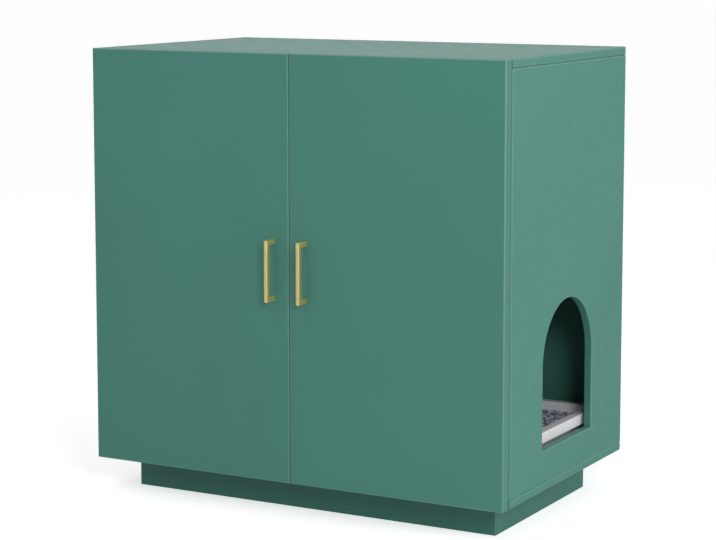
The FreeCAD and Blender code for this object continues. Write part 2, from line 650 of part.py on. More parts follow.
rivet_sketch = sketch_on(arm_body, "xy", "rivet_sketch", f"-{HALF_ARM}")
circle(rivet_sketch, "rivet", "arm_in", "-arm_ahead")
rivet_pad = feature(arm_body, "Pad", "rivet_pad", rivet_sketch, f"2 * {HALF_ARM}")
arm_body.Tip = rivet_pad

# The mounting plate: two wings on the panel and a ridge inside the arm's channel.
plate_wings = chamfered(
    box("plate_wings",
        ("board", "board + plate_sheet"),
        ("plate_setback - plate_width / 2", "plate_setback + plate_width / 2"),
        ("-plate_screws / 2 - plate_tab", "plate_screws / 2 + plate_tab")),
    "wing_corner", along(Vector(1, 0, 0)))
plate_ridge = box(
    "plate_ridge",
    ("board", f"{ARM_HIGH} - arm_sheet - play"),
    ("plate_setback - ridge_length / 2", "plate_setback + ridge_length / 2"),
    (f"-{CHANNEL} + play", f"{CHANNEL} - play"),
)
plate_cuts = []
for sign in (-1, 1):
    spot = ("board + plate_sheet", "plate_setback", f"{sign} * plate_screws / 2")
    plate_cuts.append(rod(f"plate_bore_{sign + 1}", "screw_shank + fit", "plate_sheet", spot, "-x"))
plate_master = cut("plate_master", fused("plate_blank", plate_wings, plate_ridge), *plate_cuts)

# One hinge screw, drawn from the face that its head bears on.
screw_master = screw("screw_master", "screw", "screw_length", (0, 0, 0), "+z")

OVER = Rotation(Vector(0, 1, 0), 180)
HINGE_PARTS = {"cup": cup_master, "link": link_master, "arm": arm_body, "plate": plate_master}
OUTER = {"left": LEFT, "right": RIGHT}
for side, sign in SIDES.items():
    turn = OVER if sign > 0 else Rotation()
    for level, height in LEVELS.items():
        for kind, master in HINGE_PARTS.items():
            label = f"{side}_{level}_hinge_{kind}"
            finished(copy_of(master, label + "_seat", (OUTER[side], EDGE, height), turn), label)
    into_side = "-x" if side == "left" else "+x"
    screws = []
    for number, (along_y, height) in enumerate(plate_screw_spots[side]):
        start = (f"{INNER[side]} - {sign} * plate_sheet", along_y, height)
        screws.append(copy_of(screw_master, f"{side}_plate_screw_{number}", start, TURNS[into_side]))
    finished(group(side + "_plate_screw_set", screws), side + "_hinge_plate_screws")

# ---------------------------------------------------------------- doors and handles
HANDLE_HEIGHT = f"({BOTTOM} + height / 2)"
DOOR_FACE = f"({FRONT} + door_board)"
handle_body = doc.addObject("PartDesign::Body", "handle_body")
grip_sketch = sketch_on(handle_body, "yz", "grip_sketch", "-handle_width / 2")
HALF_GRIP = "(handle_holes / 2 + handle_post / 2)"
HALF_GAP = "(handle_holes / 2 - handle_post / 2)"
outline(grip_sketch, [
    (0, f"-{HALF_GRIP}"),
    (0, f"-{HALF_GAP}"),
    ("handle_bar - reach", f"-{HALF_GAP}"),
    ("handle_bar - reach", HALF_GAP),
    (0, HALF_GAP),
    (0, HALF_GRIP),
    ("-reach", HALF_GRIP),
    ("-reach", f"-{HALF_GRIP}"),
])
grip_pad = feature(handle_body, "Pad", "grip_pad", grip_sketch, "handle_width")
grip_edges = eased(
    handle_body, "grip_edges", grip_pad, "handle_round",
    lambda edge: edge.BoundBox.YMax < -HAIR or edge.BoundBox.YLength > HAIR,
)
handle_body.Tip = grip_edges
grip_bores = []
for sign in (-1, 1):
    start = (0, 0, f"{sign} * handle_holes / 2")
    grip_bores.append(rod(f"grip_bore_{sign + 1}", "bolt_shank + fit", "bolt_grip + fit", start, "-y"))
handle_master = cut("handle_master", handle_body, *grip_bores)
bolt_master = screw("bolt_master", "bolt", "door_board + bolt_grip", (0, 0, 0), "-y")
pad_master = rod("pad_master", "pad_radius", "door_gap - pad_play", (0, 0, 0), "+y", "medium")

for side, sign in SIDES.items():
    inner = f"({sign} * door_seam / 2)"
    near, far = (OUTER[side], inner) if sign < 0 else (inner, OUTER[side])
    door_blank = box(side + "_door_blank", (near, far), (FRONT, DOOR_FACE), (BOTTOM, TOP))
    door_slab = chamfered(door_blank, "door_round", every)
    bores, cup_screws = [], []
    for level, height in LEVELS.items():
        cup_spot = (f"{OUTER[side]} - {sign} * {CUP_MIDDLE}", DOOR_FACE, height)
        cup_hole = rod(f"{side}_{level}_cup_bore", "cup_bore / 2", "cup_depth + fit", cup_spot, "-y", "large")
        bores.append(cup_hole)
        for up in (-1, 1):
            tag = f"{side}_{level}_{up + 1}"
            across = f"{OUTER[side]} - {sign} * {WING_LINE}"
            here = f"{height} + {up} * cup_screws / 2"
            depth = "screw_length - flange + fit"
            mouth = (across, DOOR_FACE, here)
            bores.append(rod(f"cup_screw_hole_{tag}", "screw_shank + fit", depth, mouth, "-y"))
            start = (across, f"{DOOR_FACE} + flange", here)
            cup_screws.append(copy_of(screw_master, f"cup_screw_{tag}", start, TURNS["-y"]))
    for up in (-1, 1):
        start = (f"{sign} * handle_offset", DOOR_FACE, f"{HANDLE_HEIGHT} + {up} * handle_holes / 2")
        bores.append(rod(f"{side}_bolt_bore_{up + 1}", "bolt_shank + fit", "door_board", start, "-y"))
    finished(cut(side + "_door_cut", door_slab, *bores), side + "_door")
    finished(group(side + "_cup_screw_set", cup_screws), side + "_hinge_cup_screws")

    handle_spot = (f"{sign} * handle_offset", FRONT, HANDLE_HEIGHT)
    finished(copy_of(handle_master, side + "_handle_seat", handle_spot), side + "_handle")
    bolts, pads = [], []
    for up in (-1, 1):
        here = f"{HANDLE_HEIGHT} + {up} * handle_holes / 2"
        start = (f"{sign} * handle_offset", DOOR_FACE, here)
        bolts.append(copy_of(bolt_master, f"{side}_bolt_{up + 1}", start))
        edge_height = f"{BOTTOM} + board / 2" if up < 0 else f"{TOP} - board / 2"
        start = (f"{sign} * (door_seam / 2 + pad_inset)", DOOR_FACE, edge_height)
        pads.append(copy_of(pad_master, f"{side}_pad_{up + 1}", start))
    finished(group(side + "_bolt_set", bolts), side + "_handle_screws")
    finished(group(side + "_pad_set", pads), side + "_door_bumpers")

# ---------------------------------------------------------------- tray and litter
RIM_RIGHT = f"({RIGHT} - tray_right)"
RIM_LEFT = f"({RIM_RIGHT} - tray_length)"
RIM_FRONT = f"({FRONT} + tray_front)"
RIM_BACK = f"({BACK} - back_board - tray_rear)"
TRAY_FOOT = f"({FLOOR} + tray_lift)"
TRAY_TOP = f"({TRAY_FOOT} + tray_height)"


def flared(name, top_inset, foot_inset, low, high):
    """A block between two heights whose four walls lean, set in from the rim's outline."""
    wedge = doc.addObject("Part::Wedge", name)
    wedge.Placement = Placement(Vector(), Rotation(Vector(1, 0, 0), 90))
    spans = {
        "Xmin": f"{RIM_LEFT} + {foot_inset}",
        "Xmax": f"{RIM_RIGHT} - {foot_inset}",
        "Zmin": f"-{RIM_BACK} + {foot_inset}",
        "Zmax": f"-{RIM_FRONT} - {foot_inset}",
        "X2min": f"{RIM_LEFT} + {top_inset}",
        "X2max": f"{RIM_RIGHT} - {top_inset}",
        "Z2min": f"-{RIM_BACK} + {top_inset}",
        "Z2max": f"-{RIM_FRONT} - {top_inset}",
        "Ymin": low,
        "Ymax": high,
    }
    for side_name, text in spans.items():
        bind(wedge, side_name, text)
    return wedge


def leaning(edge):
    """Picks the straight edges that run up a block's corners."""
    return edge.BoundBox.ZLength > HAIR


def highest(base):
    return lambda edge: edge.BoundBox.ZMin > base.Shape.BoundBox.ZMax - HAIR


# The tray is a flared block with a rim plate whose outer edge turns down as a skirt, all
# hollowed by a smaller flared block.
shell_corner = sheet.get("tray_corner") - sheet.get("tray_rim")
well_corner = shell_corner - sheet.get("tray_wall")
shell_block = flared("shell_block", "tray_rim", "(tray_rim + tray_lean)", TRAY_FOOT, TRAY_TOP)
shell = rounded(shell_block, shell_corner, leaning)
SKIRT_FOOT = f"({TRAY_TOP} - tray_skirt)"
rim_block = box("rim_block", (RIM_LEFT, RIM_RIGHT), (RIM_FRONT, RIM_BACK), (SKIRT_FOOT, TRAY_TOP))
rim_outside = rounded(rim_block, "tray_corner", leaning)
rim_eased = chamfered(rim_outside, "rim_round", highest(rim_outside))
under_rim = box(
    "under_rim",
    (f"{RIM_LEFT} + tray_wall", f"{RIM_RIGHT} - tray_wall"),
    (f"{RIM_FRONT} + tray_wall", f"{RIM_BACK} - tray_wall"),
    (SKIRT_FOOT, f"{TRAY_TOP} - tray_lip"),
)
skirt_corner = sheet.get("tray_corner") - sheet.get("tray_wall")
rim = cut("rim", rim_eased, rounded(under_rim, skirt_corner, leaning))
WELL_TOP = "(tray_rim + tray_wall)"
WELL_FOOT = "(tray_rim + tray_wall + tray_lean)"
well_block = flared("well_block", WELL_TOP, WELL_FOOT, f"{TRAY_FOOT} + tray_wall", TRAY_TOP)
well = rounded(well_block, well_corner, leaning)
finished(cut("tray", fused("tray_blank", shell, rim), well), "litter_tray")

# The litter lies in the well with a little play all round.
SHARE = "((litter_depth + play) / (tray_height - tray_wall))"
LITTER_TOP = f"({WELL_FOOT} - tray_lean * {SHARE} + play)"
litter_foot = f"{TRAY_FOOT} + tray_wall + play"
litter_block = flared(
    "litter_block", LITTER_TOP, f"({WELL_FOOT} + play)", litter_foot, f"{litter_foot} + litter_depth")
finished(rounded(litter_block, well_corner, leaning), "litter_bed")

# ---------------------------------------------------------------- checks and files
doc.recompute()
for thing in doc.Objects:
    if "Invalid" in thing.State or "Error" in thing.State:
        raise RuntimeError(f"{thing.Name} failed: {thing.State}")
for piece in pieces:
    if piece.Shape.isNull() or not piece.Shape.isValid() or not piece.Shape.Solids:
        raise RuntimeError(f"{piece.Label} has no valid solid")

os.makedirs("parts", exist_ok=True)
for piece in pieces:
    piece.Shape.exportStep(os.path.join("parts", piece.Label + ".step"))
    print(f"{piece.Label}: {len(piece.Shape.Solids)} solid(s), {piece.Shape.Volume / 1000:.1f} cm3")
print(f"{len(pieces)} sub-parts written")
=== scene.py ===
# %% [markdown]
# # Dressing a cabinet that hides a litter tray
# The CAD model holds the true sizes: a green two-door cabinet on a recessed plinth, an arched
# doorway for the cat in its right side, and a litter tray inside. This notebook gives it its
# looks: paint, brass, nickel, moulded plastic and loose granules. The first step loads the CAD
# model. Its parts never move, so every new piece is measured from them.

import json
import math
import random

import bmesh
import bpy
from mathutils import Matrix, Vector


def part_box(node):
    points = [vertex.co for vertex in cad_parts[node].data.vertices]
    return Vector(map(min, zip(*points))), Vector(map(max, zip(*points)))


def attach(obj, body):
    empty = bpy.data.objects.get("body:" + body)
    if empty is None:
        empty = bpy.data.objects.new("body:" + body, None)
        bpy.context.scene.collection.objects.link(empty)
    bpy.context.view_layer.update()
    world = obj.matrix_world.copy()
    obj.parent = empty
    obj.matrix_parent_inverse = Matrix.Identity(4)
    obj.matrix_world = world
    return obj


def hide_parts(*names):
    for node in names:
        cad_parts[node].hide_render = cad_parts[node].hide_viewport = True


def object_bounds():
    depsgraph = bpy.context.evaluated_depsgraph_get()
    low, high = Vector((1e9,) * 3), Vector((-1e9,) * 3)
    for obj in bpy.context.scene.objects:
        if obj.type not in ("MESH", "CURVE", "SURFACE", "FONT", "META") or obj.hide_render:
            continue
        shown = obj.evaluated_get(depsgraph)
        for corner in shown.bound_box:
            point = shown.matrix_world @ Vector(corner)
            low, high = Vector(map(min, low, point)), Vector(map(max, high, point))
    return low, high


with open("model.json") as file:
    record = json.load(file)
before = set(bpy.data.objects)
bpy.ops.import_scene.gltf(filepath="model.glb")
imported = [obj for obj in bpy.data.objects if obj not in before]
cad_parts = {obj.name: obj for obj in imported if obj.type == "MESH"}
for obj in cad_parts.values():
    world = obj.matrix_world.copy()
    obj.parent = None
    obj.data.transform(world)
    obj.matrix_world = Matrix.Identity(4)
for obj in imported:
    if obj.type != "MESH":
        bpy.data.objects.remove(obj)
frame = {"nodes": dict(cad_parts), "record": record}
cad_nodes = frame["nodes"]
cad_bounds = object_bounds()
MM = 0.001
lowest, highest = [tuple(round(value, 4) for value in corner) for corner in cad_bounds]
print("CAD model:", len(cad_nodes), "nodes, box from", lowest, "to", highest)

# %% [markdown]
# ## The camera
# The photograph was taken from the right, a little above the cabinet's top, with a long lens.
# Its upright edges stay parallel, which a slight downward shift of the lens helps to keep. A
# camera can be set by eye, but here its place and its focal length were worked out from the
# corners of the cabinet in the picture, because that also gives the cabinet's proportions.

# %% Set up the camera
PHOTO_WIDTH = 716
FOCAL_PIXELS = 2133
CAMERA_PLACE = (1.8195, -3.2941, 0.9733)
CAMERA_YAW = 28.90
CAMERA_PITCH = 6.79
LENS_SHIFT = -0.10

camera_data = bpy.data.cameras.new("camera")
camera_data.sensor_width = 36
camera_data.lens = FOCAL_PIXELS / PHOTO_WIDTH * camera_data.sensor_width
camera_data.shift_y = LENS_SHIFT
camera = bpy.data.objects.new("camera", camera_data)
camera.location = CAMERA_PLACE
camera.rotation_euler = (math.radians(90 - CAMERA_PITCH), 0, math.radians(CAMERA_YAW))
bpy.context.scene.collection.objects.link(camera)
bpy.context.scene.camera = camera
bpy.context.scene.view_settings.view_transform = "Standard"
print("lens", round(camera_data.lens, 1), "mm")

# %% [markdown]
# ## Finishes from nodes
# Every finish starts from the same shader. A flat colour looks like nothing real, so small
# helpers add a slight variation of colour, an uneven gloss and a fine bump. Image textures
# would do it too, but nodes stay sharp at any distance. Patterns read Object coordinates, so
# they stay fixed to the piece when it moves.

# %% Helpers for finishes
def new_finish(name, colour, roughness, metallic=0.0, **sockets):
    """A material with one shader; the values that are the same all over sit on its sockets."""
    finish = bpy.data.materials.new(name)
    finish.use_nodes = True
    shader = finish.node_tree.nodes["Principled BSDF"]
    shader.inputs["Base Color"].default_value = (*colour, 1)
    shader.inputs["Roughness"].default_value = roughness
    shader.inputs["Metallic"].default_value = metallic
    for socket, value in sockets.items():
        shader.inputs[socket.replace("_", " ")].default_value = value
    finish.diffuse_color = (*colour, 1)
    print("finish:", name)
    return finish


def shader_input(finish, socket):
    """An input of the finish's shader."""
    return finish.node_tree.nodes["Principled BSDF"].inputs[socket]


def add(finish, kind, **values):
    """A node of a kind, with values set on it or on its input sockets."""
    made = finish.node_tree.nodes.new(kind)
    for name, value in values.items():
        if hasattr(made, name):
            setattr(made, name, value)
        else:
            made.inputs[name.replace("_", " ")].default_value = value
    return made


def link(finish, output, target):
    """Join two sockets of a finish."""
    finish.node_tree.links.new(output, target)


def grain(finish, scale, detail=2.0, stretch=(1, 1, 1)):
    """Noise fixed to the piece, as a number about 0.5. Stretch makes streaks along an axis."""
    place = add(finish, "ShaderNodeTexCoord")
    mapping = add(finish, "ShaderNodeMapping")
    mapping.inputs["Scale"].default_value = stretch
    noise = add(finish, "ShaderNodeTexNoise", Scale=scale, Detail=detail)
    link(finish, place.outputs["Object"], mapping.inputs["Vector"])
    link(finish, mapping.outputs["Vector"], noise.inputs["Vector"])
    return noise.outputs["Fac"]


def between(finish, number, low, high, from_low=0.3, from_high=0.7):
    """The number spread between two limits."""
    spread = add(finish, "ShaderNodeMapRange")
    limits = {"From Min": from_low, "From Max": from_high, "To Min": low, "To Max": high}
    for socket, limit in limits.items():
        spread.inputs[socket].default_value = limit
    link(finish, number, spread.inputs["Value"])
    return spread.outputs["Result"]


def tinted(finish, number, dark, light, from_low=0.3, from_high=0.7):
    """Colour the base between two shades by a number."""
    ramp = add(finish, "ShaderNodeValToRGB")
    ramp.color_ramp.elements[0].position = from_low
    ramp.color_ramp.elements[0].color = (*dark, 1)
    ramp.color_ramp.elements[1].position = from_high
    ramp.color_ramp.elements[1].color = (*light, 1)
    link(finish, number, ramp.inputs["Fac"])
    link(finish, ramp.outputs["Color"], shader_input(finish, "Base Color"))
    return ramp.outputs["Color"]


def bumped(finish, height, depth, strength=1.0):
    """Raise and sink the surface's shading by a number, with a depth in metres."""
    bump = add(finish, "ShaderNodeBump", Strength=strength, Distance=depth)
    link(finish, height, bump.inputs["Height"])
    link(finish, bump.outputs["Normal"], shader_input(finish, "Normal"))


def glossed(finish, number):
    """Vary the roughness by a number."""
    link(finish, number, shader_input(finish, "Roughness"))


def shade(colour, factor):
    """The same colour, lighter or darker."""
    return tuple(min(1.0, part * factor) for part in colour)


# %% [markdown]
# ## Green paint
# The boards are fibreboard with a satin green paint. A sprayed coat is never perfectly flat: it
# has a very fine orange peel, and its gloss and colour drift a little over a board. Three noises
# of different sizes give that. A paler shade is painted on a board's rounded edges as a
# highlight, where the rounds catch the light; an attribute of the mesh, called edge, mixes it in.
# It could be painted on by hand, but the step that rounds the edges knows which faces it made.
# The plinth and the inside get the same paint, a little darker where less light reaches them.

# %% Paint for the boards
GREEN = (0.057, 0.218, 0.174)
# The paler shade painted on the rounded edges as a highlight.
EDGE_HIGHLIGHT = (0.12, 0.28, 0.245)


def paint(name, colour, roughness):
    """Satin paint that drifts in colour and gloss, with a painted highlight on marked edges."""
    coat = new_finish(name, colour, roughness, Specular_IOR_Level=0.42)
    drift = tinted(coat, grain(coat, 3.0, detail=3), shade(colour, 0.96), shade(colour, 1.04))
    # The edge attribute mixes in the painted highlight on the rounded edges.
    edge = add(coat, "ShaderNodeAttribute", attribute_name="edge")
    highlight_mix = add(coat, "ShaderNodeMixRGB", Color2=(*EDGE_HIGHLIGHT, 1))
    link(coat, edge.outputs["Fac"], highlight_mix.inputs["Fac"])
    link(coat, drift, highlight_mix.inputs["Color1"])
    link(coat, highlight_mix.outputs["Color"], shader_input(coat, "Base Color"))
    glossed(coat, between(coat, grain(coat, 40.0), roughness - 0.04, roughness + 0.04))
    bumped(coat, grain(coat, 900.0, detail=1), depth=0.02 * MM)
    return coat


door_paint = paint("door_paint", GREEN, 0.46)
panel_paint = paint("panel_paint", shade(GREEN, 1.05), 0.5)
plinth_paint = paint("plinth_paint", shade(GREEN, 0.82), 0.5)
back_paint = paint("back_paint", shade(GREEN, 0.85), 0.6)

# %% [markdown]
# ## Brass, nickel and zinc
# The handles are brass-coloured metal brushed along their length, so their noise is stretched
# along Z. A lacquer dulls them, so they are a little less than fully metallic. The hinges are
# pressed steel with bright nickel, and the screws are zinc plated. Brush marks cut as real
# grooves would be far finer than a pixel, so a shallow bump stands for them.

# %% Metals
BRASS = (0.76, 0.61, 0.25)
handle_brass = new_finish("handle_brass", BRASS, 0.34, metallic=0.6)
brush_marks = grain(handle_brass, 1400.0, detail=2, stretch=(1, 1, 0.02))
tinted(handle_brass, brush_marks, shade(BRASS, 0.85), shade(BRASS, 1.1))
glossed(handle_brass, between(handle_brass, brush_marks, 0.28, 0.42))
bumped(handle_brass, brush_marks, depth=0.01 * MM)


def plated(name, colour, roughness):
    """Plated steel: faint clouds in the gloss and a fine texture from the tool or the bath."""
    metal = new_finish(name, colour, roughness, metallic=1.0)
    tinted(metal, grain(metal, 120.0), shade(colour, 0.93), shade(colour, 1.05))
    clouds = grain(metal, 300.0, detail=3)
    glossed(metal, between(metal, clouds, roughness - 0.06, roughness + 0.08))
    bumped(metal, grain(metal, 2500.0, detail=1), depth=0.01 * MM)
    return metal


hinge_nickel = plated("hinge_nickel", (0.60, 0.59, 0.56), 0.22)
screw_zinc = plated("screw_zinc", (0.55, 0.55, 0.54), 0.32)

# %% [markdown]
# ## Bare wood, plastics and rubber
# The dowels and corner blocks are bare softwood, with rings that show as streaks along the
# grain. The caps and the bumpers are small mouldings. The tray is white polypropylene, a little
# waxy, which a touch of subsurface light gives: a plain white would look like chalk.

# %% Wood, plastics and rubber
PINE = (0.60, 0.42, 0.24)
bare_wood = new_finish("bare_wood", PINE, 0.7)
year_rings = grain(bare_wood, 90.0, detail=6, stretch=(1, 1, 0.08))
tinted(bare_wood, year_rings, shade(PINE, 0.6), shade(PINE, 1.1))
fibres = grain(bare_wood, 500.0, detail=3, stretch=(1, 1, 0.05))
bumped(bare_wood, fibres, depth=0.1 * MM)


def moulded(name, colour, roughness, **sockets):
    """Moulded plastic or rubber: even colour, a soft sheen and the mould's fine texture."""
    plastic = new_finish(name, colour, roughness, **sockets)
    tinted(plastic, grain(plastic, 25.0), shade(colour, 0.97), shade(colour, 1.02))
    glossed(plastic, between(plastic, grain(plastic, 60.0), roughness - 0.04, roughness + 0.06))
    bumped(plastic, grain(plastic, 1200.0, detail=1), depth=0.02 * MM)
    return plastic


cap_plastic = moulded("cap_plastic", shade(GREEN, 1.1), 0.5)
bumper_rubber = moulded("bumper_rubber", (0.70, 0.71, 0.70), 0.35, Transmission_Weight=0.3)
tray_plastic = moulded(
    "tray_plastic", (0.78, 0.78, 0.80), 0.35, Subsurface_Weight=0.1, Subsurface_Scale=4 * MM)

# %% [markdown]
# ## Litter
# Mineral litter is a mix of pale and dark grey grains. A noise would blur them into clouds, so
# Voronoi cells of about the size of one grain give each of them its own shade, and a rough bump
# takes away any gloss.

# %% Finish of the grains
GRAIN_SIZE = 4.5 * MM
DARK_GRAIN = (0.15, 0.15, 0.21)
PALE_GRAIN = (0.74, 0.72, 0.84)
litter_finish = new_finish("litter_grains", (0.4, 0.4, 0.44), 0.85)
grain_place = add(litter_finish, "ShaderNodeTexCoord")
grain_cells = add(litter_finish, "ShaderNodeTexVoronoi", Scale=1 / GRAIN_SIZE)
link(litter_finish, grain_place.outputs["Object"], grain_cells.inputs["Vector"])
grain_shade = add(litter_finish, "ShaderNodeSeparateColor")
link(litter_finish, grain_cells.outputs["Color"], grain_shade.inputs["Color"])
tinted(litter_finish, grain_shade.outputs["Red"], DARK_GRAIN, PALE_GRAIN, 0.25, 0.8)
bumped(litter_finish, grain(litter_finish, 700.0, detail=4), depth=0.4 * MM)

# %% [markdown]
# ## Making pieces
# A finished piece is a plain mesh whose object sits at the origin, and it rides on the CAD body
# that carries it. The flat-sided CAD meshes are loose triangles, so a copy is merged, its flat
# faces are made whole, and the narrow chamfers along its edges are rounded off by a bevel. A
# board could be drawn afresh as a block, but then its bores and rebates would be lost.

# %% Helpers for pieces
SMOOTH_ANGLE = math.radians(38)
FLAT_ANGLE = math.radians(0.5)
SAME_PLACE = 0.005 * MM
bodies_of = {}
for body, members in frame["record"]["behaviour"]["bodies"].items():
    for member in members:
        bodies_of[member] = body
slots_of = {part["node"]: part["material_slot"] for part in frame["record"]["subparts"]}


def scratch(name, data):
    """An object to work on, at the origin."""
    rough = bpy.data.objects.new(name, data)
    bpy.context.scene.collection.objects.link(rough)
    return rough


def settled(rough):
    """The mesh that an object's modifiers make, with the object itself removed."""
    depsgraph = bpy.context.evaluated_depsgraph_get()
    data = bpy.data.meshes.new_from_object(rough.evaluated_get(depsgraph))
    bpy.data.objects.remove(rough)
    return data


def evenly_shaded(data):
    """Smooth over the small turns, keep the sharp ones, and let the large faces rule."""
    data.shade_smooth()
    data.set_sharp_from_angle(angle=SMOOTH_ANGLE)
    rough = scratch("shading", data)
    even = rough.modifiers.new("even", "WEIGHTED_NORMAL")
    even.keep_sharp = True
    return settled(rough)


def keep(name, data, finish, node):
    """Make a mesh a finished piece that stands for a CAD node and moves with its body."""
    data.name = name
    data.materials.clear()
    data.materials.append(finish)
    piece = scratch(name, data)
    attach(piece, bodies_of[node])
    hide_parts(node)
    print("piece:", name, "on", bodies_of[node], "with", len(data.polygons), "faces")
    return piece


def merged(node):
    """A copy of a CAD node's mesh as one skin with whole flat faces."""
    skin = bmesh.new()
    skin.from_mesh(cad_nodes[node].data)
    bmesh.ops.remove_doubles(skin, verts=skin.verts, dist=SAME_PLACE)
    bmesh.ops.dissolve_limit(skin, angle_limit=FLAT_ANGLE, verts=skin.verts, edges=skin.edges)
    return skin


def softened(node, finish, width, turns, segments=2):
    """A CAD node again with its outward edges rounded, where they turn between two angles.

    The bevel gives its new faces a second material slot, which tells them apart. The edge
    attribute marks them for a painted highlight, and then every face is in the first slot again.
    """
    skin = merged(node)
    weight = skin.edges.layers.float.new("bevel_weight_edge")
    for edge in skin.edges:
        turn = math.degrees(edge.calc_face_angle_signed(0))
        edge[weight] = float(turns[0] < turn < turns[1])
    data = bpy.data.meshes.new(node)
    skin.to_mesh(data)
    skin.free()
    for _ in range(2):
        data.materials.append(finish)
    rough = scratch(node + "_rough", data)
    bevel = rough.modifiers.new("round", "BEVEL")
    bevel.limit_method = "WEIGHT"
    bevel.width = width
    bevel.segments = segments
    bevel.material = 1
    rounded = settled(rough)
    # The bevel's faces are marked for the paint's painted highlight.
    highlight_mark = rounded.attributes.new("edge", "FLOAT", "FACE")
    for face in rounded.polygons:
        highlight_mark.data[face.index].value = float(face.material_index == 1)
        face.material_index = 0
    return keep(node + "_finished", evenly_shaded(rounded), finish, node)


# %% [markdown]
# ## Boards
# Doors, body panels and plinth boards keep the CAD's bores and rebates. Their chamfers become
# rounds, as a sander leaves them before the paint goes on. A chamfer turns twice by about 45
# degrees and a bare edge once by 90, so the turn says which edges to round.

# %% Round the boards' edges
CHAMFER_TURNS = (40, 50)
SQUARE_TURNS = (80, 100)
DOOR_ROUND = 1.1 * MM
PANEL_ROUND = 0.8 * MM
THIN_ROUND = 0.3 * MM
for node in ("left_door", "right_door"):
    softened(node, door_paint, DOOR_ROUND, CHAMFER_TURNS)
for node in ("top_panel", "bottom_panel", "left_side_panel", "right_side_panel"):
    softened(node, panel_paint, PANEL_ROUND, CHAMFER_TURNS)
for node in cad_nodes:
    if node.startswith("plinth") and node.endswith(("board", "brace")):
        softened(node, plinth_paint, PANEL_ROUND, SQUARE_TURNS)
softened("back_panel", back_paint, THIN_ROUND, SQUARE_TURNS)

# %% [markdown]
# ## Handles and hinges
# The handles are square bars with eased edges. The hinges are pressed steel, so their edges
# carry a much smaller round, of one step, because nobody sees more of it. They could be drawn
# anew, but a pin that misses its eye by a hair shows at once when a door swings.

# %% Handles, hinges and blocks
HANDLE_ROUND = 0.6 * MM
STEEL_ROUND = 0.2 * MM
BLOCK_ROUND = 0.5 * MM
for side in ("left", "right"):
    softened(side + "_handle", handle_brass, HANDLE_ROUND, CHAMFER_TURNS)
for node in sorted(cad_nodes):
    if "_hinge_" in node and not node.endswith("screws"):
        softened(node, hinge_nickel, STEEL_ROUND, SQUARE_TURNS, segments=1)
softened("plinth_corner_blocks", bare_wood, BLOCK_ROUND, SQUARE_TURNS, segments=1)

# %% [markdown]
# ## Screws by Geometry Nodes
# The cabinet has dozens of screws of a few sizes. Each could be modelled and copied by hand,
# but one node tree makes them all and keeps them alike. It places a screw on each point of a
# small mesh, whose points are read from the CAD screws: the middle of each head's outer face.

# %% Places of the repeated solids
def solids_of(node):
    """The lowest and highest corner of each separate solid of a CAD node."""
    skin = merged(node)
    boxes, seen_verts = [], set()
    for seed in skin.verts:
        if seed in seen_verts:
            continue
        group, front = {seed}, [seed]
        while front:
            for edge in front.pop().link_edges:
                for vert in edge.verts:
                    if vert not in group:
                        group.add(vert)
                        front.append(vert)
        seen_verts |= group
        spans = [(min(v.co[i] for v in group), max(v.co[i] for v in group)) for i in range(3)]
        boxes.append((Vector([low for low, high in spans]), Vector([high for low, high in spans])))
    skin.free()
    return boxes


# The way that a set of heads faces: the turn that takes +Z there, and the face of each box.
FACINGS = {
    "+x": ((0, math.radians(90), 0), Vector((1, 0, 0))),
    "-x": ((0, math.radians(-90), 0), Vector((-1, 0, 0))),
    "+y": ((math.radians(-90), 0, 0), Vector((0, 1, 0))),
    "-z": ((math.radians(180), 0, 0), Vector((0, 0, -1))),
}


def head_points(node, facing):
    """The middle of each solid's face on the side that its head faces."""
    outward = FACINGS[facing][1]
    points = []
    for low, high in solids_of(node):
        half = (high - low) / 2
        points.append((low + high) / 2 + Vector([half[i] * outward[i] for i in range(3)]))
    return points


# %% [markdown]
# A tree is a list of nodes and links, and written out in full it is long. These helpers make a
# node with its inputs in one line, and end each tree in the same way: every copy becomes real
# faces and gets its finish, so that the piece is a plain mesh.

# %% Helpers for node trees
def new_tree(name, inputs):
    """A Geometry Nodes tree whose inputs have names and kinds."""
    tree = bpy.data.node_groups.new(name, "GeometryNodeTree")
    tree.interface.new_socket("Geometry", in_out="INPUT", socket_type="NodeSocketGeometry")
    for label, kind in inputs.items():
        tree.interface.new_socket(label, in_out="INPUT", socket_type="NodeSocket" + kind)
    tree.interface.new_socket("Geometry", in_out="OUTPUT", socket_type="NodeSocketGeometry")
    return tree, tree.nodes.new("NodeGroupInput"), tree.nodes.new("NodeGroupOutput")


def step(tree, kind, inputs, **settings):
    """A node whose inputs are links or plain values."""
    made = tree.nodes.new(kind)
    for name, value in settings.items():
        setattr(made, name, value)
    for socket, value in inputs.items():
        if isinstance(value, bpy.types.NodeSocket):
            tree.links.new(value, made.inputs[socket])
        else:
            made.inputs[socket].default_value = value
    return made


def times(tree, first, second):
    """Two numbers multiplied."""
    return step(tree, "ShaderNodeMath", {0: first, 1: second}, operation="MULTIPLY").outputs[0]


def up_by(tree, geometry, height):
    """Geometry raised along Z."""
    lift = step(tree, "ShaderNodeCombineXYZ", {"Z": height})
    moved = step(tree, "GeometryNodeTransform", {
        "Geometry": geometry, "Translation": lift.outputs[0]})
    return moved.outputs[0]


def joined(tree, *parts):
    """Several pieces of geometry as one."""
    together = tree.nodes.new("GeometryNodeJoinGeometry")
    for part in parts:
        tree.links.new(part, together.inputs[0])
    return together.outputs[0]


def ended(tree, sizes, result, geometry):
    """End a tree: its copies made real and given their finish."""
    real = step(tree, "GeometryNodeRealizeInstances", {"Geometry": geometry})
    finished = step(tree, "GeometryNodeSetMaterial", {
        "Geometry": real.outputs[0], "Material": sizes.outputs["Finish"]})
    tree.links.new(finished.outputs[0], result.inputs[0])
    print("tree:", tree.name, "with", len(tree.nodes), "nodes")


